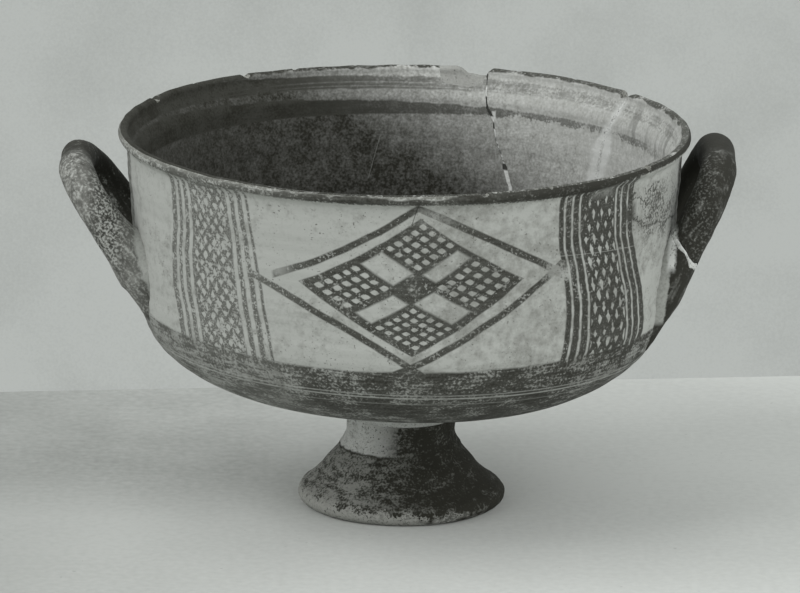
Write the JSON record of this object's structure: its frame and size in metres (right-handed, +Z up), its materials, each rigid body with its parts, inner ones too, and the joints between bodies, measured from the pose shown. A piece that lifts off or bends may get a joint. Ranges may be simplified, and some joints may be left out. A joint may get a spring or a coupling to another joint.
{
  "type": "footed drinking cup",
  "caption": "Deep round pottery cup on a flared foot, with upswung loop handles and painted bands, nets and a lozenge; broken and mended with plaster.",
  "frame": {"origin": "centre of the ring that the foot stands on, on the cup's axis", "axes": "+Z up along the cup's axis; +X from the left handle to the right handle as the painted front is seen; the front with the lozenge faces -Y"},
  "size_m": [0.237, 0.2, 0.1355],
  "materials": {
    "painted_clay": "matt pale slip with dark matt paint, worn",
    "fired_clay": "bare matt fired clay",
    "plaster": "matt pale plaster fill"
  },
  "bodies": {
    "root": {"bowl_body": "painted_clay", "foot": "painted_clay", "luting_ring": "fired_clay", "handle_left": "painted_clay", "handle_right": "painted_clay", "handle_right_stub": "painted_clay", "handle_break_fill": "plaster", "rim_sherd_back": "painted_clay", "rim_sherd_right": "painted_clay", "seam_fill_back": "plaster", "seam_fill_right": "plaster", "rim_plaster_fill": "plaster"}
  },
  "joints": []
}
